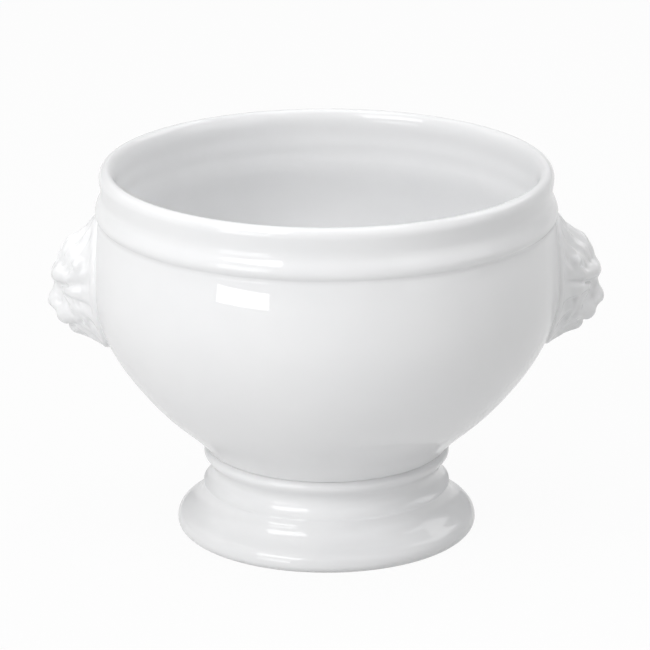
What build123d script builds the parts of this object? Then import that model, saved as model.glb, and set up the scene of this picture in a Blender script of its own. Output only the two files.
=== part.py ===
from build123d import *
import math
import os

# A footed onion soup crock of white glazed porcelain, with two lion heads as lugs.
# Sizes are in millimetres. The origin is the middle of the resting face, +Z is up, and the
# heads stand out along the X axis. The crock is turned about Z, so its outlines are given
# as (radius, height).

# Heights, stacked from the table upwards
foot_height = 22.6
foot_seam = 0.5
belly_rise = 46.2
shoulder_rise = 17.3
collar_rise = 13.4

# Bowl
rim_radius = 60.0
belly_swell = 2.3
seat_radius = 32.4
wall = 4.2
floor_thickness = 5.0
floor_flat_radius = 14.0

# Lip, rounded over the top of the wall
lip_outer_drop = 5.0
lip_crest_inset = 1.1
lip_inner_drop = 3.0

# Bead under the collar
bead_height = 3.8
bead_proud = 1.2
crease_proud = 0.35
neck_inset = 0.2

# Faint turning rings inside the collar
ripple_depth = 0.15
ripple_pitch = 2.5
ripple_count = 4

# Pedestal foot, from its top downwards: torus, scotia, ledge and flare. The drops are
# measured down from the top of the foot.
foot_wall = 4.6
seam_inset = 0.9
torus_inset = 0.7
torus_swell = 0.5
torus_drop = 1.8
waist_depth = 2.0
waist_drop = 6.2
ledge_swell = 0.7
ledge_drop = 10.1
foot_spread = 7.75
foot_edge_radius = 2.1
rest_width = 3.6

# Lion heads
head_height = 36.0
head_width = 26.0
head_reach = 11.9
head_drop = 1.0
flange_thickness = 1.2
head_seam = 0.4
fit_gap = 0.02

# The lower wall of the bowl, as shares of the way down and of the way in from belly to seat
lower_wall_shape = [(0.375, 0.156), (0.6, 0.3925), (0.78, 0.6475), (0.92, 0.8906)]

# Where the inner curve keeps the wall's thickness, as shares of the lower wall's length
even_wall_shares = (0.3, 0.55, 0.78)

# The scotia above and below its waist, as shares of the way down and of the way across
scotia_upper = (0.545, 0.69)
scotia_lower = (0.51, 0.23)

# Where the flare of the foot turns, as shares of the way down and of the way out
flare_turn = (0.59, 0.5)

# The lion's face: middle and radii (out, side, up) of each rounded form, in shares of the
# head's reach, half its width and half its height. What stands off the middle line is on
# both sides.
face_forms = {
    "mane": ((-0.12, 0.00, 0.05), (0.74, 0.97, 0.91)),
    "face": ((0.00, 0.00, -0.03), (0.80, 0.66, 0.72)),
    "forehead": ((0.22, 0.00, 0.39), (0.54, 0.50, 0.37)),
    "brow": ((0.59, 0.27, 0.19), (0.31, 0.25, 0.12)),
    "bridge": ((0.60, 0.00, 0.02), (0.29, 0.15, 0.27)),
    "nose": ((0.80, 0.00, -0.26), (0.20, 0.23, 0.095)),
    "muzzle": ((0.64, 0.20, -0.41), (0.27, 0.25, 0.15)),
    "chin": ((0.49, 0.00, -0.64), (0.24, 0.23, 0.12)),
    "beard": ((0.05, 0.00, -0.74), (0.28, 0.36, 0.17)),
    "cheek": ((0.35, 0.46, -0.20), (0.29, 0.24, 0.26)),
    "ear": ((0.36, 0.60, 0.53), (0.20, 0.20, 0.16)),
}
face_softness = 0.8

# Locks of the mane: how many on each side, their angles, and where they start and end
lock_count = 7
lock_first_angle = 84.0
lock_last_angle = -80.0
lock_root = (0.42, 0.66, 0.68)
lock_tip = (0.02, 0.95, 0.90)
lock_root_radius = 1.9
lock_tip_radius = 1.1

# How finely a head is sectioned, and where its rays start inside the wall
head_levels = 36
head_end_share = 0.97
rays_per_side = 13
ray_root = 9.0
ray_start = 40.0
ray_pace = 0.75
search_steps = 24
widest_angle = 25.0

# Levels and radii that follow from the sizes above
bowl_bottom = foot_height + foot_seam
belly_level = bowl_bottom + belly_rise
crease_level = belly_level + shoulder_rise
overall_height = crease_level + collar_rise
belly_radius = rim_radius + belly_swell
head_middle = belly_level - head_drop
half_head = (head_reach, head_width / 2, head_height / 2)


def turned(edges):
    """The solid that an outline of (radius, height) edges makes, turned about Z."""
    return revolve(Plane.XZ * make_face(edges), Axis.Z)


def lower_wall():
    """Outer curve of the bowl, from the belly down to the seat on the foot."""
    inward = belly_radius - seat_radius
    points = [(belly_radius, belly_level)]
    for down, way_in in lower_wall_shape:
        points.append((belly_radius - way_in * inward, belly_level - down * belly_rise))
    points.append((seat_radius, bowl_bottom))
    return Spline(points)


def outside_of_bowl():
    """Outer curves from the seat up to the crest of the lip."""
    belly = (belly_radius, belly_level)
    crease = (rim_radius + crease_proud, crease_level)
    bead_crest = (rim_radius + bead_proud, crease_level + bead_height / 2)
    bead_top = (rim_radius - neck_inset, crease_level + bead_height)
    lip_side = (rim_radius, overall_height - lip_outer_drop)
    lip_middle = (rim_radius - lip_crest_inset, overall_height - lip_outer_drop)
    return [
        lower_wall(),
        TangentArc(belly, crease, tangent=(0, 1)),
        ThreePointArc(crease, bead_crest, bead_top),
        TangentArc(lip_side, bead_top, tangent=(0, -1)),
        EllipticalCenterArc(lip_middle, lip_crest_inset, lip_outer_drop, 0, arc_size=90),
    ]


def inside_of_bowl():
    """Inner curves from the crest of the lip down to the flat of the floor."""
    lip_thickness = wall - lip_crest_inset
    lip_middle = (rim_radius - lip_crest_inset, overall_height - lip_inner_drop)
    lip_root = (rim_radius - wall, overall_height - lip_inner_drop)
    ripples = []
    for i in range(1, ripple_count + 1):
        swing = ripple_depth if i % 2 else -ripple_depth
        ripples.append((rim_radius - wall + swing, overall_height - lip_inner_drop - i * ripple_pitch))
    belly = (belly_radius - wall, belly_level)
    outer = lower_wall()
    lower = []
    for share in even_wall_shares:
        place = outer.position_at(share)
        along = outer.tangent_at(share)
        lower.append((place.X + wall * along.Y, place.Y - wall * along.X))
    floor_edge = (floor_flat_radius, bowl_bottom + floor_thickness)
    return [
        EllipticalCenterArc(lip_middle, lip_thickness, lip_inner_drop, 90, arc_size=90),
        Spline([lip_root, *ripples, belly], tangents=[(0, -1), (0, -1)]),
        Spline([belly, *lower, floor_edge], tangents=[(0, -1), (-1, 0)]),
    ]


def bowl_body():
    floor_level = bowl_bottom + floor_thickness
    floor_edge = (floor_flat_radius, floor_level)
    closing = Polyline(floor_edge, (0, floor_level), (0, bowl_bottom), (seat_radius, bowl_bottom))
    return turned([*outside_of_bowl(), *inside_of_bowl(), *closing.edges()])


def foot_top_bore():
    """Inner radius of the foot where it meets the bowl."""
    return seat_radius - torus_inset - foot_wall


def between(start, end, shares):
    """A point at a share of the way down from start to end, and a share of the way across."""
    down, across = shares
    return start[0] + across * (end[0] - start[0]), start[1] + down * (end[1] - start[1])


def pedestal_foot():
    foot_radius = seat_radius + foot_spread
    top = (seat_radius - torus_inset, foot_height)
    torus = (seat_radius + torus_swell, foot_height - torus_drop)
    waist = (seat_radius - waist_depth, foot_height - waist_drop)
    ledge = (seat_radius + ledge_swell, foot_height - ledge_drop)
    edge_top = (foot_radius, foot_edge_radius)
    edge_middle = (foot_radius - foot_edge_radius, foot_edge_radius)
    rest_outer = (foot_radius - foot_edge_radius, 0)
    rest_inner = (rest_outer[0] - rest_width, 0)
    waist_bore = (waist[0] - foot_wall, waist[1])
    top_bore = (foot_top_bore(), foot_height)
    upper_turn = between(torus, waist, scotia_upper)
    lower_turn = between(waist, ledge, scotia_lower)
    return turned([
        Spline([top, torus, upper_turn, waist, lower_turn, ledge]),
        Spline([ledge, between(ledge, edge_top, flare_turn), edge_top], tangents=[(0, -1), (0, -1)]),
        EllipticalCenterArc(edge_middle, foot_edge_radius, foot_edge_radius, -90, arc_size=90),
        Line(rest_outer, rest_inner),
        Spline([rest_inner, waist_bore, top_bore]),
        Line(top_bore, top),
    ])


def foot_slip_seam():
    """The ring of slip between the foot and the bottom of the bowl."""
    ring = Circle(seat_radius - seam_inset) - Circle(foot_top_bore())
    return extrude(Pos(0, 0, foot_height) * ring, foot_seam)


def ellipsoid_gap(point, middle, radii):
    """About how far a point stands outside an ellipsoid, negative inside it."""
    scaled = [(p - m) / r for p, m, r in zip(point, middle, radii)]
    reach = math.hypot(*scaled)
    slope = math.hypot(*[s / r for s, r in zip(scaled, radii)])
    return reach * (reach - 1) / slope if slope else -min(radii)


def lock_gap(point, root, tip):
    """How far a point stands outside a lock that tapers from root to tip."""
    along = [t - r for t, r in zip(tip, root)]
    offset = [p - r for p, r in zip(point, root)]
    share = sum(a * o for a, o in zip(along, offset)) / sum(a * a for a in along)
    share = min(max(share, 0.0), 1.0)
    apart = math.hypot(*[o - share * a for o, a in zip(offset, along)])
    return apart - (lock_root_radius + share * (lock_tip_radius - lock_root_radius))


def melted(first, second):
    """Two gaps joined with a soft valley between the forms."""
    blend = max(face_softness - abs(first - second), 0) / face_softness
    return min(first, second) - blend * blend * face_softness / 4


def in_head(shares):
    """A place on the head, in millimetres (out, side, up), from shares of its size."""
    return [s * h for s, h in zip(shares, half_head)]


def fanned_locks():
    """Root and tip of each lock on one side, fanned around the face."""
    locks = []
    for i in range(lock_count):
        share = i / (lock_count - 1)
        angle = math.radians(lock_first_angle + share * (lock_last_angle - lock_first_angle))
        fan = (1, math.cos(angle), math.sin(angle))
        locks.append([in_head([s * f for s, f in zip(end, fan)]) for end in (lock_root, lock_tip)])
    return locks


def wall_radius(level):
    """Outer radius of the bowl's wall at a level between the seat and the crease."""
    if level >= belly_level:
        draw_in = belly_swell - crease_proud
        arc_radius = (shoulder_rise ** 2 + draw_in ** 2) / (2 * draw_in)
        return belly_radius - arc_radius + math.sqrt(arc_radius ** 2 - (level - belly_level) ** 2)
    curve = lower_wall()
    low, high = 0.0, 1.0
    for _ in range(search_steps):
        middle = (low + high) / 2
        if curve.position_at(middle).Y > level:
            low = middle
        else:
            high = middle
    return curve.position_at(low).X


def mane_half_width(up):
    """Half the width that a head covers on the wall, at a height from the head's middle."""
    (_, _, rise), (_, wide, tall) = [in_head(size) for size in face_forms["mane"]]
    return wide * math.sqrt(1 - ((up - rise) / tall) ** 2)


def head_heights():
    """Heights of the sections of a head, from its middle, short of the mane's very ends."""
    (_, _, rise), (_, _, tall) = [in_head(size) for size in face_forms["mane"]]
    reach = head_end_share * tall
    return [rise - reach + 2 * reach * i / (head_levels - 1) for i in range(head_levels)]


class HeadLevel:
    """One level of a lion head: the wall behind it, and the head's outline there."""

    def __init__(self, up):
        self.up = up
        self.level = head_middle + up
        self.wall = wall_radius(self.level)
        self.back = self.wall + head_seam + 2 * fit_gap
        self.half_width = mane_half_width(up)

    def gap(self, x, y):
        """How far a place at this level stands outside the head."""
        side = abs(y)
        flange = max(side - self.half_width, math.hypot(x, y) - self.back - flange_thickness)
        place = (x - belly_radius, side, self.up)
        gap = flange
        for middle, radii in sculpted_forms:
            gap = melted(gap, ellipsoid_gap(place, middle, radii))
        for root, tip in mane_locks:
            gap = melted(gap, lock_gap(place, root, tip))
        return gap

    def edge_angle(self):
        """Angle about Z at which the head's outline meets the wall."""
        low, high = 0.0, math.radians(widest_angle)
        for _ in range(search_steps):
            middle = (low + high) / 2
            if self.gap(self.back * math.cos(middle), self.back * math.sin(middle)) < 0:
                low = middle
            else:
                high = middle
        return low

    def surface(self, angle):
        """Place where a ray from inside the wall leaves the head."""
        length = ray_start
        for _ in range(search_steps):
            x = belly_radius - ray_root + length * math.cos(angle)
            y = length * math.sin(angle)
            length -= ray_pace * self.gap(x, y)
        return x, y

    def section(self):
        """Closed outline of the head, with its back round the wall."""
        turn = self.edge_angle()
        corner = (self.back * math.cos(turn), self.back * math.sin(turn))
        widest = math.atan2(corner[1], corner[0] - belly_radius + ray_root)
        half = [self.surface(widest * i / rays_per_side) for i in range(rays_per_side)]
        half.append(corner)
        outline = [(x, -y) for x, y in reversed(half[1:])] + half
        front = Edge.make_spline([Vector(x, y, self.level) for x, y in outline])
        behind = Vector(self.back, 0, self.level)
        back = Edge.make_three_point_arc(front @ 1, behind, front @ 0)
        return Wire([front, back])

    def seam_section(self):
        """Closed outline of the slip between the head and the wall."""
        inner, outer = self.wall + fit_gap, self.wall + fit_gap + head_seam
        turn = math.asin(self.half_width / self.wall)
        outer_arc = self.arc(outer, turn)
        inner_arc = self.arc(inner, turn)
        sides = [Edge.make_line(outer_arc @ i, inner_arc @ i) for i in (0, 1)]
        return Wire([outer_arc, inner_arc, *sides])

    def arc(self, radius, turn):
        """Arc about Z at this level, as wide as a turn to each side of the X axis."""
        ends = [Vector(radius * math.cos(a), radius * math.sin(a), self.level) for a in (-turn, turn)]
        return Edge.make_three_point_arc(ends[0], Vector(radius, 0, self.level), ends[1])


def lion_head():
    """A head on the +X side, skinned through its sections from beard to crown."""
    return Solid.make_loft([HeadLevel(up).section() for up in head_heights()], ruled=True)


def head_slip_seam():
    """The layer of slip between a head and the wall."""
    return Solid.make_loft([HeadLevel(up).seam_section() for up in head_heights()], ruled=True)


def save(node, shape):
    export_step(shape, "parts/" + node + ".step")


sculpted_forms = [(in_head(middle), in_head(radii)) for middle, radii in face_forms.values()]
mane_locks = fanned_locks()

os.makedirs("parts", exist_ok=True)
save("bowl_body", bowl_body())
save("pedestal_foot", pedestal_foot())
save("foot_slip_seam", foot_slip_seam())
right_head = lion_head()
right_seam = head_slip_seam()
half_turn = Rot(0, 0, 180)
save("right_lion_head", right_head)
save("right_head_seam", right_seam)
save("left_lion_head", half_turn * right_head)
save("left_head_seam", half_turn * right_seam)
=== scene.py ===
import math

import bmesh
import bpy
import numpy as np
import openvdb
from bpy.props import FloatProperty, FloatVectorProperty, IntProperty, PointerProperty
from bpy.types import Operator, Panel, PropertyGroup
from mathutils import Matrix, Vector


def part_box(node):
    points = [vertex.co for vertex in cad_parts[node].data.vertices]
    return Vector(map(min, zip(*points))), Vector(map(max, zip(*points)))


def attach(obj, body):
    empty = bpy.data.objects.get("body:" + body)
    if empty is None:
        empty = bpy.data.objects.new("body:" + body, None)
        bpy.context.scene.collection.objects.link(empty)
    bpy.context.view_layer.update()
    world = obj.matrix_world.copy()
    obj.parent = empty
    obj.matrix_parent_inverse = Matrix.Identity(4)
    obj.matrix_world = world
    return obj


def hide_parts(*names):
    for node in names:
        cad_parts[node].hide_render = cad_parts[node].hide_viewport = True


bl_info = {
    "name": "Lion-head soup crock",
    "version": (1, 0, 0),
    "blender": (4, 5, 0),
    "location": "View3D > Sidebar > Crock",
    "description": "A footed soup crock of white glazed porcelain with two lion heads",
    "category": "Object",
}

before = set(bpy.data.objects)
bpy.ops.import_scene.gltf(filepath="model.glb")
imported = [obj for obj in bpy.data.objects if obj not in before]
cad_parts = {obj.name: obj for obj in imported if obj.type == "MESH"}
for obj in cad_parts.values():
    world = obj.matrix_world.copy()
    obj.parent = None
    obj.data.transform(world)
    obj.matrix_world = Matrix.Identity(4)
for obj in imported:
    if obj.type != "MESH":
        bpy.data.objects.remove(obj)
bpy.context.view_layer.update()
bowl_low, bowl_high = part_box("bowl_body")
foot_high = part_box("pedestal_foot")[1]

# Sizes in this file are in metres, and MM turns millimetres into them.
MM = 0.001


def length(name, description, default):
    """A size that a user can change, in metres."""
    return FloatProperty(name=name, description=description, default=default, unit="LENGTH", precision=5)


def colour(name, description, default):
    """A colour that a user can change."""
    return FloatVectorProperty(name=name, description=description, default=default, subtype="COLOR",
                               size=3, min=0.0, max=1.0)


def amount(name, description, default, least):
    """A whole number that a user can change, with the least it can be."""
    return IntProperty(name=name, description=description, default=default, min=least)


class BowlSizes(PropertyGroup):
    rim_level: length("Rim level", "Height of the lip's crest", bowl_high.z)
    bottom_level: length("Bottom level", "Height of the bowl's underside", bowl_low.z)
    belly_level: length("Belly level", "Height of the widest part", 69.3 * MM)
    crease_level: length("Crease level", "Height of the crease under the bead", 86.6 * MM)
    belly_radius: length("Belly radius", "Widest outer radius", bowl_high.y)
    rim_radius: length("Rim radius", "Outer radius of the lip", 60.0 * MM)
    seat_radius: length("Seat radius", "Radius of the underside", 32.4 * MM)
    wall: length("Wall", "Thickness of the wall", 4.2 * MM)
    floor_thickness: length("Floor", "Thickness of the floor", 5.0 * MM)
    floor_flat: length("Floor flat", "Radius of the flat of the floor", 14.0 * MM)
    bead_level: length("Bead level", "Height of the bead's crest above the crease", 1.5 * MM)
    bead_proud: length("Bead proud", "How far the bead stands out from the rim", 1.15 * MM)
    ripple_depth: length("Ripple depth", "Depth of the turning rings inside the collar", 0.06 * MM)
    ripple_pitch: length("Ripple pitch", "Spacing of the turning rings", 2.5 * MM)
    segments: amount("Segments", "Steps round the turned piece", 288, 24)


class FootSizes(PropertyGroup):
    height: length("Height", "Height of the foot", foot_high.z)
    radius: length("Radius", "Outer radius at the table", foot_high.x)
    seat_radius: length("Seat radius", "Radius of the bowl's underside", 32.4 * MM)
    wall: length("Wall", "Thickness of the foot's wall", 4.6 * MM)
    torus_inset: length("Torus inset", "How far the top edge lies inside the seat", 0.7 * MM)
    torus_swell: length("Torus swell", "How far the torus stands out from the seat", 0.5 * MM)
    torus_drop: length("Torus drop", "How far the torus is below the top", 1.8 * MM)
    waist_depth: length("Waist depth", "How far the waist is drawn in", 2.0 * MM)
    waist_drop: length("Waist drop", "How far the waist is below the top", 6.2 * MM)
    ledge_swell: length("Ledge swell", "How far the ledge stands out from the seat", 0.7 * MM)
    ledge_drop: length("Ledge drop", "How far the ledge is below the top", 10.1 * MM)
    rest_width: length("Rest width", "Width of the ring that stands on the table", 3.6 * MM)
    segments: amount("Segments", "Steps round the turned piece", 288, 24)


class HeadSizes(PropertyGroup):
    grain: length("Grain", "Cell size of the sculpted surface", 0.22 * MM)
    softness: length("Softness", "How far the glaze fills the valleys between forms", 1.0 * MM)
    plate: length("Plate", "Thickness of the plate behind the mane", 1.2 * MM)
    set_in: length("Set in", "How deep the back of the head sits in the wall", 0.3 * MM)
    locks: amount("Locks", "Outer locks of the mane on each side", 9, 3)
    lock_height: length("Lock height", "How far the locks stand out of the mane", 1.1 * MM)
    strand_height: length("Strand height", "How far the fine strands stand out of the locks", 0.16 * MM)


class GlazeLook(PropertyGroup):
    white: colour("White", "Glazed porcelain", (0.86, 0.862, 0.866))
    cloud: colour("Cloud", "Porcelain where the glaze is thick", (0.82, 0.824, 0.832))
    biscuit: colour("Biscuit", "Unglazed porcelain on the standing ring", (0.78, 0.765, 0.735))
    bare_height: length("Bare height", "Height of the unglazed ring", 0.5 * MM)
    shine: FloatProperty(name="Shine", description="Strength of the glaze's reflections",
                         default=0.65, min=0.0, max=1.0)


class StageLook(PropertyGroup):
    floor: colour("Floor", "Pale floor", (0.65, 0.65, 0.65))
    backdrop: colour("Backdrop", "Pale backdrop behind the floor", (0.5, 0.5, 0.51))
    camera_turn: FloatProperty(name="Camera turn", description="Turn of the camera about the crock",
                               default=math.radians(-1.5), subtype="ANGLE")


def upright_arc(start, end, steps=16):
    """Points on the arc that leaves start straight up or down and goes to end."""
    inward = start[0] - end[0]
    rise = end[1] - start[1]
    radius = (inward ** 2 + rise ** 2) / (2 * inward)
    angles = np.linspace(0, math.atan2(rise, radius - inward), steps + 1)
    across = start[0] - radius + radius * np.cos(angles)
    up = start[1] + radius * np.sin(angles)
    return np.column_stack([across, up])


def quarter_round(middle, radii, first_angle, steps=16):
    """Points on a quarter of an ellipse, anticlockwise from first_angle in degrees."""
    angles = np.radians(first_angle + 90 * np.linspace(0, 1, steps + 1))
    across = middle[0] + radii[0] * np.cos(angles)
    up = middle[1] + radii[1] * np.sin(angles)
    return np.column_stack([across, up])


def end_pace(places, points, end, way):
    """How fast a curve leaves an end point: along its nearest points, or a set way at its opening pace."""
    if way is None:
        nearest = np.argsort(np.abs(places - places[end]))[:4]
        return np.polyfit(places[nearest] - places[end], points[nearest], len(nearest) - 1)[-2]
    bend, slope, _ = np.polyfit(places[:3], points[:3], 2)
    pace = 2 * bend * places[end] + slope
    return np.array(way) * np.abs(pace).sum() / np.abs(way).sum()


def smooth_curve(points, first_way=None, last_way=None, steps=16):
    """Points on a smooth curve through the given points, with any directions that are set at its ends."""
    points = np.array(points)
    count = len(points)
    spans = np.hypot(*np.diff(points, axis=0).T)
    places = np.concatenate([[0], np.cumsum(spans)])
    matrix = np.eye(count)
    paces = np.zeros((count, 2))
    paces[0] = end_pace(places, points, 0, first_way)
    paces[-1] = end_pace(places, points, -1, last_way)
    for i in range(1, count - 1):
        before, after = spans[i - 1], spans[i]
        matrix[i, i - 1:i + 2] = after, 2 * (before + after), before
        arriving = after / before * (points[i] - points[i - 1])
        leaving = before / after * (points[i + 1] - points[i])
        paces[i] = 3 * (arriving + leaving)
    paces = np.linalg.solve(matrix, paces)
    curve = [points[:1]]
    share = np.linspace(0, 1, steps + 1)[1:, None]
    left = 1 - share
    for i in range(count - 1):
        way = left ** 2 * (1 + 2 * share) * points[i] + share ** 2 * (3 - 2 * share) * points[i + 1]
        swing = spans[i] * share * left * (left * paces[i] - share * paces[i + 1])
        curve.append(way + swing)
    return np.vstack(curve)


SAME_POINT = 1e-7


def joined(*stretches):
    """One outline from stretches that follow each other, without double points."""
    points = np.vstack(stretches)
    apart = np.hypot(*np.diff(points, axis=0).T)
    return points[np.concatenate([[True], apart > SAME_POINT])]


# The lower wall between the belly and the seat, as shares of the way down and of the way in.
LOWER_WALL = ((0.375, 0.156), (0.6, 0.3925), (0.78, 0.6475), (0.92, 0.8906))
# Places along the lower wall, as shares of its length, from which the inside is set off.
EVEN_WALL = (0.3, 0.55, 0.78)
CREASE_PROUD = 0.35 * MM
# The way from the bead through the cove, in millimetres out from the rim and up from the crease.
BEAD_SLOPE = ((0.68, 3.7), (-0.3, 6.3), (-0.32, 7.8))
LIP_OUTER_DROP = 2.6 * MM
LIP_INNER_DROP = 4.5 * MM
LIP_CREST_INSET = 2.0 * MM
RIPPLES = 4


def lower_wall(bowl):
    """Outer curve from the belly down to the seat."""
    inward = bowl.belly_radius - bowl.seat_radius
    drop = bowl.belly_level - bowl.bottom_level
    points = [(bowl.belly_radius, bowl.belly_level)]
    for down, way_in in LOWER_WALL:
        points.append((bowl.belly_radius - way_in * inward, bowl.belly_level - down * drop))
    points.append((bowl.seat_radius, bowl.bottom_level))
    return smooth_curve(points, steps=20)


def upper_wall(bowl):
    """Outer curve from the belly up to the crease under the bead."""
    belly = (bowl.belly_radius, bowl.belly_level)
    crease = (bowl.rim_radius + CREASE_PROUD, bowl.crease_level)
    return upright_arc(belly, crease)


def wall_radius(bowl, levels):
    """Outer radius of the bowl's wall at levels between the seat and the crease."""
    curve = np.vstack([lower_wall(bowl)[::-1], upper_wall(bowl)[1:]])
    return np.interp(levels, curve[:, 1], curve[:, 0])


def collar_curve(bowl):
    """Outer curve from the crease over the bead and through the cove to the side of the lip."""
    offsets = [(CREASE_PROUD, 0), (bowl.bead_proud, bowl.bead_level)]
    offsets += [(out * MM, up * MM) for out, up in BEAD_SLOPE]
    offsets.append((0, bowl.rim_level - LIP_OUTER_DROP - bowl.crease_level))
    points = [(bowl.rim_radius + out, bowl.crease_level + up) for out, up in offsets]
    return smooth_curve(points, (1, 1), steps=8)


def bowl_outline(bowl):
    """Outline from the middle of the underside, round the lip, to the middle of the floor."""
    lip_outer = (bowl.rim_radius - LIP_CREST_INSET, bowl.rim_level - LIP_OUTER_DROP)
    lip_inner = (bowl.rim_radius - LIP_CREST_INSET, bowl.rim_level - LIP_INNER_DROP)
    inner_radius = bowl.rim_radius - bowl.wall
    collar = [(inner_radius, bowl.rim_level - LIP_INNER_DROP)]
    for i in range(1, RIPPLES + 1):
        swing = bowl.ripple_depth if i % 2 else -bowl.ripple_depth
        collar.append((inner_radius + swing, collar[0][1] - i * bowl.ripple_pitch))
    inner_belly = (bowl.belly_radius - bowl.wall, bowl.belly_level)
    outer = lower_wall(bowl)
    floor_level = bowl.bottom_level + bowl.floor_thickness
    inside = [inner_belly, *inside_points(outer, bowl.wall), (bowl.floor_flat, floor_level)]
    return joined(
        [(0, bowl.bottom_level)],
        outer[::-1],
        upper_wall(bowl),
        collar_curve(bowl),
        quarter_round(lip_outer, (LIP_CREST_INSET, LIP_OUTER_DROP), first_angle=0),
        quarter_round(lip_inner, (bowl.wall - LIP_CREST_INSET, LIP_INNER_DROP), first_angle=90),
        smooth_curve([*collar, inner_belly], (0, -1), (0, -1), steps=10),
        smooth_curve(inside, (0, -1), (-1, 0), steps=12),
        [(0, floor_level)],
    )


def inside_points(outer, wall):
    """Points one wall's thickness inside the lower wall."""
    steps = np.diff(outer, axis=0)
    along = np.concatenate([[0], np.cumsum(np.hypot(*steps.T))])
    points = []
    for share in EVEN_WALL:
        i = np.searchsorted(along, share * along[-1])
        way = steps[i - 1] / np.hypot(*steps[i - 1])
        points.append((outer[i, 0] + wall * way[1], outer[i, 1] - wall * way[0]))
    return points


FOOT_EDGE = 2.1 * MM
# Where the foot's curves turn, as shares of the way down and of the way across.
SCOTIA_UPPER = (0.545, 0.69)
SCOTIA_LOWER = (0.51, 0.23)
FLARE = (0.59, 0.5)


def part_way(start, end, shares):
    """A point at a share of the way down from start to end, and a share of the way across."""
    down, across = shares
    return start[0] + across * (end[0] - start[0]), start[1] + down * (end[1] - start[1])


def foot_outline(foot):
    """Closed outline of the foot's wall, from its top down its mouldings and back up its bore."""
    seat = foot.seat_radius
    top = (seat - foot.torus_inset, foot.height)
    torus = (seat + foot.torus_swell, foot.height - foot.torus_drop)
    waist = (seat - foot.waist_depth, foot.height - foot.waist_drop)
    ledge = (seat + foot.ledge_swell, foot.height - foot.ledge_drop)
    edge_top = (foot.radius, FOOT_EDGE)
    upper_turn = part_way(torus, waist, SCOTIA_UPPER)
    lower_turn = part_way(waist, ledge, SCOTIA_LOWER)
    rest_inner = (foot.radius - FOOT_EDGE - foot.rest_width, 0)
    bore = [rest_inner, (waist[0] - foot.wall, waist[1]), (top[0] - foot.wall, foot.height)]
    return joined(
        smooth_curve([top, torus, upper_turn, waist, lower_turn, ledge]),
        smooth_curve([ledge, part_way(ledge, edge_top, FLARE), edge_top], (0, -1), (0, -1)),
        quarter_round((foot.radius - FOOT_EDGE, FOOT_EDGE), (FOOT_EDGE, FOOT_EDGE), first_angle=-90)[::-1],
        smooth_curve(bore),
    )


TURNING_RADIUS = 30.0 * MM
MERGE_DISTANCE = 0.001 * MM


def turning_tree():
    """Node tree that turns an outline of (radius, 0, height) about Z, as on a potter's wheel."""
    tree = bpy.data.node_groups.new("Turned on the wheel", "GeometryNodeTree")
    sockets = tree.interface
    sockets.new_socket("Outline", in_out="INPUT", socket_type="NodeSocketGeometry")
    sockets.new_socket("Segments", in_out="INPUT", socket_type="NodeSocketInt")
    sockets.new_socket("Glaze", in_out="INPUT", socket_type="NodeSocketMaterial")
    sockets.new_socket("Piece", in_out="OUTPUT", socket_type="NodeSocketGeometry")
    add = tree.nodes.new
    given = add("NodeGroupInput")
    given_out = add("NodeGroupOutput")
    outline = add("GeometryNodeMeshToCurve")
    laid = add("GeometryNodeTransform")
    laid.inputs["Translation"].default_value = (-TURNING_RADIUS, 0, 0)
    laid.inputs["Rotation"].default_value = (math.pi / 2, 0, 0)
    wheel = add("GeometryNodeCurvePrimitiveCircle")
    wheel.inputs["Radius"].default_value = TURNING_RADIUS
    sweep = add("GeometryNodeCurveToMesh")
    merge = add("GeometryNodeMergeByDistance")
    merge.inputs["Distance"].default_value = MERGE_DISTANCE
    smooth = add("GeometryNodeSetShadeSmooth")
    realize = add("GeometryNodeRealizeInstances")
    glaze = add("GeometryNodeSetMaterial")
    link = tree.links.new
    link(given.outputs["Outline"], outline.inputs["Mesh"])
    link(outline.outputs["Curve"], laid.inputs["Geometry"])
    link(given.outputs["Segments"], wheel.inputs["Resolution"])
    link(wheel.outputs["Curve"], sweep.inputs["Curve"])
    link(laid.outputs["Geometry"], sweep.inputs["Profile Curve"])
    link(sweep.outputs["Mesh"], merge.inputs["Geometry"])
    link(merge.outputs["Geometry"], smooth.inputs["Geometry"])
    link(smooth.outputs["Geometry"], realize.inputs["Geometry"])
    link(realize.outputs["Geometry"], glaze.inputs["Geometry"])
    link(given.outputs["Glaze"], glaze.inputs["Material"])
    link(glaze.outputs["Geometry"], given_out.inputs["Piece"])
    return tree


def turned_piece(name, outline, closed, segments, material):
    """A piece turned from its outline, as a plain mesh with its faces outwards."""
    mesh = bpy.data.meshes.new(name + "_outline")
    count = len(outline)
    edges = [(i, i + 1) for i in range(count - 1)]
    if closed:
        edges.append((count - 1, 0))
    mesh.from_pydata([(radius, 0, height) for radius, height in outline], edges, [])
    piece = bpy.data.objects.new(name, mesh)
    bpy.context.collection.objects.link(piece)
    tree = bpy.data.node_groups.get("Turned on the wheel") or turning_tree()
    modifier = piece.modifiers.new("Turning", "NODES")
    modifier.node_group = tree
    inputs = {item.name: item.identifier for item in tree.interface.items_tree if item.in_out == "INPUT"}
    modifier[inputs["Segments"]] = segments
    modifier[inputs["Glaze"]] = material
    bpy.context.view_layer.update()
    turned = bpy.data.meshes.new_from_object(piece.evaluated_get(bpy.context.evaluated_depsgraph_get()))
    piece.modifiers.remove(modifier)
    piece.data = turned
    turned.name = name
    face_outwards(turned)
    return piece


def face_outwards(mesh):
    """Turns every face of a closed mesh outwards."""
    form = bmesh.new()
    form.from_mesh(mesh)
    bmesh.ops.recalc_face_normals(form, faces=form.faces)
    form.to_mesh(mesh)
    form.free()


# Lion head. Its places are in millimetres, as (out from the belly, to the side, up from the head's middle),
# and what stands off the middle line is on both sides.

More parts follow.
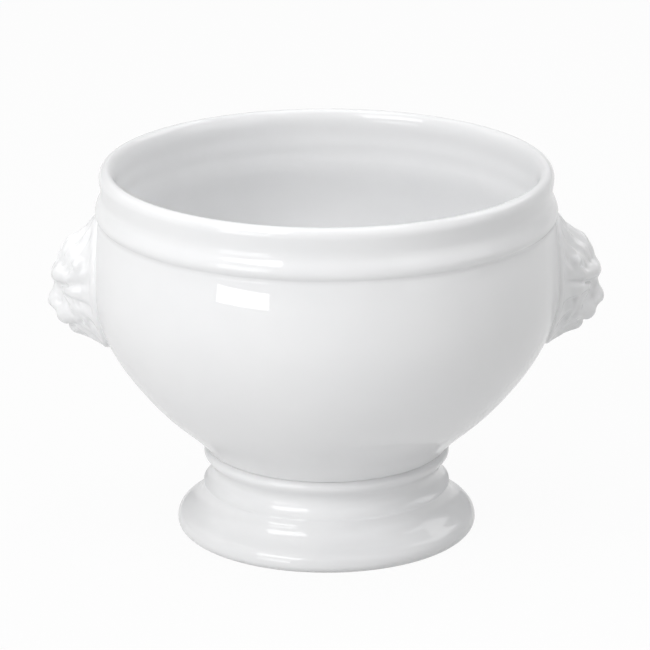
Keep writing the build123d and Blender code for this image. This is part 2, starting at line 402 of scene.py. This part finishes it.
MANE_MIDDLE = (-2.0, 0.0, 0.4)
MANE_RADII = (8.4, 10.6, 15.8)
MANE_REST = 0.6
HAIR_REST = 0.55
HAIR_RELIEF = 0.4
BEARD_REST = 0.2
BEARD_RELIEF = 0.3
FACE_LEVEL = -0.5
PLATE_LEVEL = 0.35
PLATE_RADII = (13.2, 18.1)
PLATE_EDGE = 1.2
PLATE_MELT = 2.4
HEAD_BOX = ((-6.5, -14.5, -19.5), (13.0, 14.5, 19.5))
HEAD_DROP = 1.0
LEAST_SLOPE = 1e-6


def ellipsoid(place, middle, radii, roll=0.0, pitch=0.0):
    """About how far each place stands outside an ellipsoid, rolled in the face and pitched in profile."""
    x, y, z = [p - m for p, m in zip(place, middle)]
    if roll:
        c, s = math.cos(math.radians(roll)), math.sin(math.radians(roll))
        y, z = c * y + s * z, c * z - s * y
    if pitch:
        c, s = math.cos(math.radians(pitch)), math.sin(math.radians(pitch))
        x, z = c * x + s * z, c * z - s * x
    a, b, c = x / radii[0], y / radii[1], z / radii[2]
    reach = np.sqrt(a * a + b * b + c * c)
    slope = np.sqrt((a / radii[0]) ** 2 + (b / radii[1]) ** 2 + (c / radii[2]) ** 2)
    return reach * (reach - 1) / np.maximum(slope, LEAST_SLOPE)


def strand(place, spine, radii):
    """How far each place stands outside a strand along a spine of points, with a radius at each."""
    nearest = np.inf
    for start, end, first, last in zip(spine, spine[1:], radii, radii[1:]):
        along = [e - s for s, e in zip(start, end)]
        offset = [p - s for p, s in zip(place, start)]
        share = sum(o * a for o, a in zip(offset, along)) / sum(a * a for a in along)
        share = np.clip(share, 0, 1)
        apart = np.sqrt(sum((o - share * a) ** 2 for o, a in zip(offset, along)))
        nearest = np.minimum(nearest, apart - first - share * (last - first))
    return nearest


def melt(first, second, soft):
    """Two gaps joined, with a soft valley between the forms."""
    blend = np.maximum(soft - np.abs(first - second), 0) / soft
    return np.minimum(first, second) - blend * blend * soft / 4


def carve(first, second, soft):
    """The first form with the second cut out of it, with a soft edge."""
    return -melt(-first, second, soft)


VALLEY_ROUNDING = 0.03


def ridges(phase):
    """Round ridges side by side, one for each whole step of the phase, from nearly nought to one."""
    return np.sqrt(np.sin(math.pi * phase) ** 2 + VALLEY_ROUNDING)


def soft_step(value, width):
    """One below nought, nothing past the width, and a soft slope between."""
    share = np.clip(value / width, 0, 1)
    return 1 - share * share * (3 - 2 * share)


# The mane's locks. Rings and overlap are shares of the way from the face's middle to the mane's edge,
# lift and swell are shares of a lock's height, and sweeps are in locks.
OUTER_RING = 0.8
INNER_RING = 0.6
OVERLAP = 0.66
OVERLAP_SCALLOP = 0.12
OVERLAP_FADE = 0.16
INNER_LIFT = 0.55
INNER_SWELL = 0.75
STRANDS_PER_LOCK = 3
HALF_A_LOCK = 0.5
SWEEP_AT_CROWN = 2.4
SWEEP_AT_CHIN = -2.4


def mane_relief(side, up, sizes):
    """How far the locks stand out: an outer ring, an inner ring that overlaps it, and fine strands."""
    across = side / MANE_RADII[1]
    rise = (up - FACE_LEVEL) / MANE_RADII[2]
    reach = np.hypot(across, rise)
    turn = 0.5 - np.arctan2(rise, across) / math.pi
    sweep = SWEEP_AT_CROWN + (SWEEP_AT_CHIN - SWEEP_AT_CROWN) * turn
    outer = ridges(sizes.locks * turn + sweep * (reach - OUTER_RING))
    inner = ridges((sizes.locks - 1) * turn + HALF_A_LOCK + sweep * (reach - INNER_RING))
    strands = np.cos(STRANDS_PER_LOCK * math.tau * (sizes.locks * turn + sweep * reach))
    overlap = soft_step(reach - OVERLAP - OVERLAP_SCALLOP * inner, OVERLAP_FADE)
    locks = outer + overlap * (INNER_LIFT + INNER_SWELL * inner)
    return (sizes.lock_height * locks + sizes.strand_height * strands) / MM


def all_melted(gap, forms):
    """A gap with other forms melted onto it in turn, each with its own softness."""
    for form, soft in forms:
        gap = melt(gap, form, soft)
    return gap


def face_gap(place, relief):
    """The face: forehead with its hair, bridge, brow, nose, muzzle, cheeks and chin."""
    skull = ellipsoid(place, (-0.6, 0.0, -0.8), (9.2, 7.2, 12.4))
    hair = ellipsoid(place, (2.6, 0.0, 7.0), (5.5, 6.0, 6.1)) - HAIR_RELIEF * relief + HAIR_REST
    bridge = strand(place, [(7.4, 0.0, 0.6), (8.6, 0.0, -4.2)], [2.3, 2.5])
    brow = strand(place, [(8.4, 0.8, 2.7), (8.1, 2.6, 3.3), (5.4, 5.6, 2.9)], [2.25, 2.3, 1.6])
    forehead = strand(place, [(6.6, 0.0, 6.4), (8.2, 0.0, 3.0)], [2.2, 2.3])
    nose = ellipsoid(place, (8.95, 0.0, -4.8), (2.75, 2.5, 2.8), pitch=10)
    nose_wing = ellipsoid(place, (8.8, 1.9, -5.6), (1.9, 1.4, 1.4))
    muzzle = ellipsoid(place, (6.0, 2.3, -7.6), (3.5, 3.2, 3.3))
    jowl = strand(place, [(5.2, 3.4, -6.9), (3.5, 5.6, -7.2)], [2.7, 2.2])
    cheek = strand(place, [(5.2, 5.0, -1.8), (3.4, 6.5, -4.6)], [1.7, 1.6])
    chin = ellipsoid(place, (3.5, 0.0, -11.7), (2.8, 3.4, 2.2))
    return all_melted(skull, (
        (hair, 1.6),
        (bridge, 1.2),
        (brow, 1.4),
        (forehead, 1.2),
        (nose, 1.0),
        (nose_wing, 0.8),
        (muzzle, 1.0),
        (jowl, 1.2),
        (cheek, 1.2),
        (chin, 0.9),
    ))


def with_eyes(gap, place):
    """Sockets under the brow with an eye in each, and the crease below them."""
    socket = ellipsoid(place, (9.3, 4.3, -1.0), (2.1, 2.3, 1.4), roll=14)
    eye = ellipsoid(place, (6.3, 4.0, -0.9), (1.6, 1.5, 1.3))
    crease = strand(place, [(9.2, 3.3, -2.2), (5.6, 6.9, -4.6)], [0.6, 0.5])
    gap = carve(gap, socket, 1.0)
    gap = melt(gap, eye, 0.6)
    return carve(gap, crease, 1.0)


def with_nose_and_mouth(gap, place):
    """Nostrils, the groove under the nose, the mouth and the frown between the brows."""
    nostril = ellipsoid(place, (11.0, 1.5, -6.6), (0.9, 0.8, 0.7))
    groove = strand(place, [(11.2, 0.0, -7.0), (9.8, 0.0, -9.6)], [0.5, 0.45])
    mouth = strand(place, [(8.0, 0.0, -11.0), (6.4, 3.4, -11.2), (4.6, 5.4, -10.2)], [0.4, 0.5, 0.3])
    frown = strand(place, [(11.7, 0.0, 2.4), (11.2, 0.0, 4.4)], [0.5, 0.3])
    for hollow, soft in ((nostril, 0.5), (groove, 0.7), (mouth, 0.9), (frown, 1.0)):
        gap = carve(gap, hollow, soft)
    return gap


def with_ears(gap, place):
    """Small round ears, a little hollow in front, half sunk in the mane."""
    ear = ellipsoid(place, (3.3, 6.9, 6.2), (1.9, 1.9, 2.5), roll=-25)
    hollow = ellipsoid(place, (5.3, 7.5, 5.7), (1.1, 0.9, 1.4), roll=-25)
    return melt(gap, carve(ear, hollow, 0.7), 1.4)


def with_ruff(gap, place):
    """The ridge of hair that frames the face from the brow down the cheek."""
    spine = [(6.0, 6.2, 3.0), (4.5, 7.3, -1.7), (3.1, 7.9, -5.1), (1.5, 7.9, -8.3), (0.0, 7.0, -11.0)]
    return melt(gap, strand(place, spine, [0.5, 0.7, 0.75, 0.7, 0.5]), 0.6)


def with_beard(gap, place, relief):
    """The beard that runs from the chin back down to the wall."""
    beard = ellipsoid(place, (-2.6, 0.0, -13.2), (8.0, 6.4, 2.6), pitch=36)
    return melt(gap, beard + BEARD_REST - BEARD_RELIEF * relief, 1.4)


def lion_gap(place, sizes):
    """How far each place stands outside the lion's mask."""
    out, side, up = place
    place = (out, np.abs(side), up)
    relief = mane_relief(place[1], up, sizes)
    mane = ellipsoid(place, MANE_MIDDLE, MANE_RADII) + MANE_REST - relief
    gap = melt(mane, face_gap(place, relief), sizes.softness / MM)
    gap = with_ears(gap, place)
    gap = with_beard(gap, place, relief)
    gap = with_eyes(gap, place)
    gap = with_nose_and_mouth(gap, place)
    return with_ruff(gap, place)


def head_surface(bowl, sizes):
    """Points and quads of the right head, set on the bowl's wall, in metres."""
    step = sizes.grain / MM
    axes = [np.arange(low, high, step) for low, high in zip(*HEAD_BOX)]
    place = np.meshgrid(*axes, indexing="ij")
    middle = bowl.belly_level / MM - HEAD_DROP
    belly = bowl.belly_radius / MM
    wall = wall_radius(bowl, (axes[2] + middle) * MM) / MM
    out_of_wall = np.hypot(place[0] + belly, place[1]) - wall[None, None, :]
    edge = np.hypot(place[1] / PLATE_RADII[0], (place[2] - PLATE_LEVEL) / PLATE_RADII[1])
    past_edge = (edge - 1) * PLATE_RADII[0]
    plate = carve(past_edge, sizes.plate / MM - out_of_wall, PLATE_EDGE)
    gap = melt(lion_gap(place, sizes), plate, PLATE_MELT)
    gap = np.maximum(gap, past_edge)
    gap = np.maximum(gap, -sizes.set_in / MM - out_of_wall)
    grid = openvdb.FloatGrid()
    grid.copyFromArray(gap.astype(np.float32))
    points, quads = grid.convertToQuads()
    corner = np.array(HEAD_BOX[0]) + np.array([belly, 0, middle])
    return (points * step + corner) * MM, quads


def head_piece(name, points, quads, material):
    """A head as a closed mesh."""
    mesh = bpy.data.meshes.new(name)
    mesh.from_pydata(points.tolist(), [], quads.tolist())
    mesh.materials.append(material)
    mesh.shade_smooth()
    face_outwards(mesh)
    piece = bpy.data.objects.new(name, mesh)
    bpy.context.collection.objects.link(piece)
    return piece


# Materials

def new_material(name):
    """A material with its nodes, and the shader to set."""
    material = bpy.data.materials.new(name)
    material.use_nodes = True
    return material, material.node_tree, material.node_tree.nodes["Principled BSDF"]


def noise(tree, scale, detail=2.0):
    """Noise on the object's own coordinates, with a scale per metre."""
    where = tree.nodes.new("ShaderNodeTexCoord")
    texture = tree.nodes.new("ShaderNodeTexNoise")
    texture.inputs["Scale"].default_value = scale
    texture.inputs["Detail"].default_value = detail
    tree.links.new(where.outputs["Object"], texture.inputs["Vector"])
    return texture.outputs["Fac"]


# A Mix node's first and second inputs and its output, for numbers and for colours.
MIX_SOCKETS = {"FLOAT": (2, 3, 0), "RGBA": (6, 7, 2)}


def new_mix(tree, kind, factor):
    """A Mix node driven by a factor, with its first and second inputs and its output."""
    mix = tree.nodes.new("ShaderNodeMix")
    mix.data_type = kind
    tree.links.new(factor, mix.inputs[0])
    first, second, result = MIX_SOCKETS[kind]
    return mix.inputs[first], mix.inputs[second], mix.outputs[result]


def between(tree, factor, low, high):
    """A mix of two colours by a factor."""
    first, second, result = new_mix(tree, "RGBA", factor)
    first.default_value = (*low, 1)
    second.default_value = (*high, 1)
    return result


# Most of a noise lies between these values.
NOISE_LOW = 0.3
NOISE_HIGH = 0.7


def spread(tree, factor, low, high):
    """A noise stretched between two numbers."""
    stretch = tree.nodes.new("ShaderNodeMapRange")
    stretch.inputs["From Min"].default_value = NOISE_LOW
    stretch.inputs["From Max"].default_value = NOISE_HIGH
    stretch.inputs["To Min"].default_value = low
    stretch.inputs["To Max"].default_value = high
    tree.links.new(factor, stretch.inputs["Value"])
    return stretch.outputs["Result"]


RIPPLE_HEIGHT = 0.05 * MM


def glaze_ripples(tree, shader, strength):
    """The faint orange-peel of a fired glaze."""
    bump = tree.nodes.new("ShaderNodeBump")
    bump.inputs["Strength"].default_value = strength
    bump.inputs["Distance"].default_value = RIPPLE_HEIGHT
    tree.links.new(noise(tree, scale=420.0, detail=3.0), bump.inputs["Height"])
    tree.links.new(bump.outputs["Normal"], shader.inputs["Normal"])


def glossy_coat(shader, weight, roughness):
    """A clear glaze that does all the mirroring, over a body that only scatters."""
    shader.inputs["Specular IOR Level"].default_value = 0.0
    shader.inputs["Coat Weight"].default_value = weight
    shader.inputs["Coat Roughness"].default_value = roughness


def glazed_porcelain(name, look):
    """White porcelain under a clear glossy glaze, a little cloudy where the glaze is thick."""
    material, tree, shader = new_material(name)
    cloud = spread(tree, noise(tree, scale=22.0, detail=4.0), low=0.0, high=1.0)
    tree.links.new(between(tree, cloud, look.white, look.cloud), shader.inputs["Base Color"])
    tree.links.new(spread(tree, noise(tree, scale=60.0), low=0.4, high=0.5), shader.inputs["Roughness"])
    glossy_coat(shader, look.shine, roughness=0.015)
    glaze_ripples(tree, shader, strength=0.03)
    return material


# The glaze starts between this share of the bare height and the whole of it.
BARE_FADE = 0.6
BISCUIT_ROUGHNESS = 0.75


def part_glazed_porcelain(name, look):
    """Glazed porcelain with a bare ring of biscuit where it stands on the table."""
    material = glazed_porcelain(name, look)
    tree = material.node_tree
    shader = tree.nodes["Principled BSDF"]
    where = tree.nodes.new("ShaderNodeTexCoord")
    split = tree.nodes.new("ShaderNodeSeparateXYZ")
    tree.links.new(where.outputs["Object"], split.inputs["Vector"])
    bare = tree.nodes.new("ShaderNodeMapRange")
    bare.inputs["From Min"].default_value = look.bare_height
    bare.inputs["From Max"].default_value = BARE_FADE * look.bare_height
    tree.links.new(split.outputs["Z"], bare.inputs["Value"])
    finishes = (("Base Color", "RGBA", (*look.biscuit, 1)), ("Roughness", "FLOAT", BISCUIT_ROUGHNESS))
    for socket, kind, biscuit in finishes:
        glazed = shader.inputs[socket].links[0].from_socket
        first, second, result = new_mix(tree, kind, bare.outputs["Result"])
        tree.links.new(glazed, first)
        second.default_value = biscuit
        tree.links.new(result, shader.inputs[socket])
    return material


def fired_slip(name, look):
    """Slip under the glaze in the joints, a little greyer and softer than the glazed wall."""
    material, tree, shader = new_material(name)
    cloud = noise(tree, scale=300.0, detail=3.0)
    tree.links.new(between(tree, cloud, look.cloud, look.white), shader.inputs["Base Color"])
    tree.links.new(spread(tree, noise(tree, scale=500.0), low=0.25, high=0.4), shader.inputs["Roughness"])
    glossy_coat(shader, look.shine, roughness=0.08)
    glaze_ripples(tree, shader, strength=0.2)
    return material


def finish_piece(piece, node):
    """Sets a piece on the crock, in place of its plain solid."""
    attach(piece, "root")
    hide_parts(node)


class CROCK_OT_bowl(Operator):
    """Turn the bowl with its lip, collar, bead and belly"""
    bl_idname = "crock.bowl"
    bl_label = "Turn the bowl"

    def execute(self, context):
        bowl = context.scene.crock_bowl
        glaze = glazed_porcelain("glazed_porcelain", context.scene.crock_glaze)
        outline = bowl_outline(bowl)
        piece = turned_piece("bowl", outline, closed=False, segments=bowl.segments, material=glaze)
        finish_piece(piece, "bowl_body")
        return {"FINISHED"}


class CROCK_OT_foot(Operator):
    """Turn the pedestal foot with its torus, scotia, ledge and flare"""
    bl_idname = "crock.foot"
    bl_label = "Turn the foot"

    def execute(self, context):
        foot = context.scene.crock_foot
        glaze = part_glazed_porcelain("part_glazed_porcelain", context.scene.crock_glaze)
        outline = foot_outline(foot)
        piece = turned_piece("foot", outline, closed=True, segments=foot.segments, material=glaze)
        finish_piece(piece, "pedestal_foot")
        return {"FINISHED"}


class CROCK_OT_heads(Operator):
    """Sculpt the lion heads on both sides"""
    bl_idname = "crock.heads"
    bl_label = "Sculpt the lion heads"

    def execute(self, context):
        scene = context.scene
        glaze = glazed_porcelain("lion_glaze", scene.crock_glaze)
        points, quads = head_surface(scene.crock_bowl, scene.crock_heads)
        for side, turn in (("right", 1), ("left", -1)):
            piece = head_piece(side + "_lion", points * (turn, turn, 1), quads, glaze)
            finish_piece(piece, side + "_lion_head")
        return {"FINISHED"}


class CROCK_OT_seams(Operator):
    """Finish the slip in the joints of the foot and the heads"""
    bl_idname = "crock.seams"
    bl_label = "Finish the slip seams"

    def execute(self, context):
        slip = fired_slip("fired_slip", context.scene.crock_glaze)
        for node in ("foot_slip_seam", "left_head_seam", "right_head_seam"):
            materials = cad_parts[node].data.materials
            materials.clear()
            materials.append(slip)
        return {"FINISHED"}


# The focal length is in millimetres, as Blender takes it.
FOCAL_LENGTH = 218.2
PICTURE_WIDTH = 650
CAMERA_DISTANCE = 1.0
CAMERA_HEIGHT = 379.5 * MM
CAMERA_AIM = 55.74 * MM
CAMERA_SHIFT = -1.5 / PICTURE_WIDTH
FLOOR_HALF_WIDTH = 5.0
FLOOR_CORNERS = ((-1, -1), (1, -1), (1, 1), (-1, 1))
FLOOR_ROUGHNESS = 0.9
FLOOR_SEEN_WHITE = 0.95
AMBIENT = 0.05
LAMP_AIM = 0.7 * bowl_high.z
# Soft lamps: azimuth and elevation in degrees, distance and size in metres, and power in watts.
LAMPS = (
    ("key", -42, 37, 1.4, (0.8, 0.5), 8.6),
    ("left_top", -90, 66, 1.4, (0.8, 0.8), 2.8),
    ("left_back", -120, 42, 1.4, (0.8, 0.8), 1.4),
    ("right", 35, 42, 1.4, (0.8, 0.8), 2.0),
    ("right_back", 120, 42, 1.4, (0.8, 0.8), 4.6),
    ("right_low", 60, 16, 1.5, (1.4, 0.8), 3.8),
    ("overhead", 0, 88, 1.4, (1.0, 1.0), 7.2),
    ("front_strip", -41, -1, 1.2, (0.55, 0.16), 2.4),
    ("upper_strip", -41, 11.5, 1.2, (0.55, 0.2), 1.4),
)


def seen_white(tree, share):
    """One where a camera, mirror or glass sees the surface, times a share."""
    light_path = tree.nodes.new("ShaderNodeLightPath")
    total = None
    for ray in ("Is Camera Ray", "Is Glossy Ray", "Is Transmission Ray"):
        value = light_path.outputs[ray]
        if total is not None:
            most = tree.nodes.new("ShaderNodeMath")
            most.operation = "MAXIMUM"
            tree.links.new(total, most.inputs[0])
            tree.links.new(value, most.inputs[1])
            value = most.outputs["Value"]
        total = value
    part = tree.nodes.new("ShaderNodeMath")
    part.operation = "MULTIPLY"
    part.inputs[1].default_value = share
    tree.links.new(total, part.inputs[0])
    return part.outputs["Value"]


def floor_material(look):
    """A pale floor that looks white but keeps a soft shadow."""
    material, tree, shader = new_material("pale_floor")
    shader.inputs["Base Color"].default_value = (*look.floor, 1)
    shader.inputs["Roughness"].default_value = FLOOR_ROUGHNESS
    glow = tree.nodes.new("ShaderNodeEmission")
    glow.inputs["Color"].default_value = (1, 1, 1, 1)
    mix = tree.nodes.new("ShaderNodeMixShader")
    tree.links.new(seen_white(tree, FLOOR_SEEN_WHITE), mix.inputs[0])
    tree.links.new(shader.outputs["BSDF"], mix.inputs[1])
    tree.links.new(glow.outputs["Emission"], mix.inputs[2])
    tree.links.new(mix.outputs["Shader"], tree.nodes["Material Output"].inputs["Surface"])
    return material


def pale_world(ambient, backdrop):
    """A world that lights softly and looks like a pale backdrop."""
    world = bpy.data.worlds.new("studio")
    bpy.context.scene.world = world
    world.use_nodes = True
    tree = world.node_tree
    light = tree.nodes["Background"]
    light.inputs["Color"].default_value = (1, 1, 1, 1)
    light.inputs["Strength"].default_value = ambient
    seen = tree.nodes.new("ShaderNodeBackground")
    seen.inputs["Color"].default_value = (*backdrop, 1)
    mix = tree.nodes.new("ShaderNodeMixShader")
    tree.links.new(seen_white(tree, 1.0), mix.inputs[0])
    tree.links.new(light.outputs["Background"], mix.inputs[1])
    tree.links.new(seen.outputs["Background"], mix.inputs[2])
    tree.links.new(mix.outputs["Shader"], tree.nodes["World Output"].inputs["Surface"])


def softbox(name, azimuth, elevation, distance, size, energy):
    """A flat soft lamp aimed at the crock's belly; azimuth 0 is the camera's side, negative is left."""
    lamp = bpy.data.lights.new(name, "AREA")
    lamp.shape = "RECTANGLE"
    lamp.size, lamp.size_y = size
    lamp.energy = energy
    holder = bpy.data.objects.new(name, lamp)
    bpy.context.collection.objects.link(holder)
    turn, rise = math.radians(azimuth), math.radians(elevation)
    way = Vector((math.sin(turn) * math.cos(rise), -math.cos(turn) * math.cos(rise), math.sin(rise)))
    aim = Vector((0, 0, LAMP_AIM))
    holder.location = aim + distance * way
    holder.rotation_euler = (-way).to_track_quat("-Z", "Y").to_euler()


def pale_floor(look):
    """A wide floor under the crock."""
    mesh = bpy.data.meshes.new("floor")
    corners = [(x * FLOOR_HALF_WIDTH, y * FLOOR_HALF_WIDTH, 0) for x, y in FLOOR_CORNERS]
    mesh.from_pydata(corners, [], [(0, 1, 2, 3)])
    mesh.materials.append(floor_material(look))
    floor = bpy.data.objects.new("floor", mesh)
    bpy.context.collection.objects.link(floor)


def set_camera(scene, look):
    """The camera at the photograph's viewing angle."""
    lens = bpy.data.cameras.new("camera")
    lens.lens = FOCAL_LENGTH
    lens.shift_x = CAMERA_SHIFT
    camera = bpy.data.objects.new("camera", lens)
    bpy.context.collection.objects.link(camera)
    across = CAMERA_DISTANCE * math.sin(look.camera_turn)
    back = CAMERA_DISTANCE * math.cos(look.camera_turn)
    camera.location = (across, -back, CAMERA_HEIGHT)
    aim = Vector((0, 0, CAMERA_AIM)) - camera.location
    camera.rotation_euler = aim.to_track_quat("-Z", "Y").to_euler()
    scene.camera = camera


class CROCK_OT_stage(Operator):
    """Set the floor, the soft lamps and the camera"""
    bl_idname = "crock.stage"
    bl_label = "Set the stage"

    def execute(self, context):
        look = context.scene.crock_stage
        pale_floor(look)
        pale_world(AMBIENT, look.backdrop)
        for lamp in LAMPS:
            softbox(*lamp)
        set_camera(context.scene, look)
        context.scene.view_settings.view_transform = "Standard"
        return {"FINISHED"}


class CROCK_PT_maker(Panel):
    """The crock's pieces and their sizes"""
    bl_label = "Soup crock"
    bl_idname = "CROCK_PT_maker"
    bl_space_type = "VIEW_3D"
    bl_region_type = "UI"
    bl_category = "Crock"

    def draw(self, context):
        for maker, sizes in MAKERS:
            box = self.layout.box()
            box.operator(maker.bl_idname)
            group = getattr(context.scene, sizes)
            for name in group.__annotations__:
                box.prop(group, name)


GROUPS = {
    "crock_bowl": BowlSizes,
    "crock_foot": FootSizes,
    "crock_heads": HeadSizes,
    "crock_glaze": GlazeLook,
    "crock_stage": StageLook,
}
MAKERS = (
    (CROCK_OT_bowl, "crock_bowl"),
    (CROCK_OT_foot, "crock_foot"),
    (CROCK_OT_heads, "crock_heads"),
    (CROCK_OT_seams, "crock_glaze"),
    (CROCK_OT_stage, "crock_stage"),
)


def register():
    for name, group in GROUPS.items():
        bpy.utils.register_class(group)
        setattr(bpy.types.Scene, name, PointerProperty(type=group))
    for maker, _ in MAKERS:
        bpy.utils.register_class(maker)
    bpy.utils.register_class(CROCK_PT_maker)


def unregister():
    bpy.utils.unregister_class(CROCK_PT_maker)
    for maker, _ in reversed(MAKERS):
        bpy.utils.unregister_class(maker)
    for name, group in reversed(GROUPS.items()):
        delattr(bpy.types.Scene, name)
        bpy.utils.unregister_class(group)


def main():
    register()
    bpy.ops.crock.bowl()
    bpy.ops.crock.foot()
    bpy.ops.crock.heads()
    bpy.ops.crock.seams()
    bpy.ops.crock.stage()


if __name__ == "__main__":
    main()
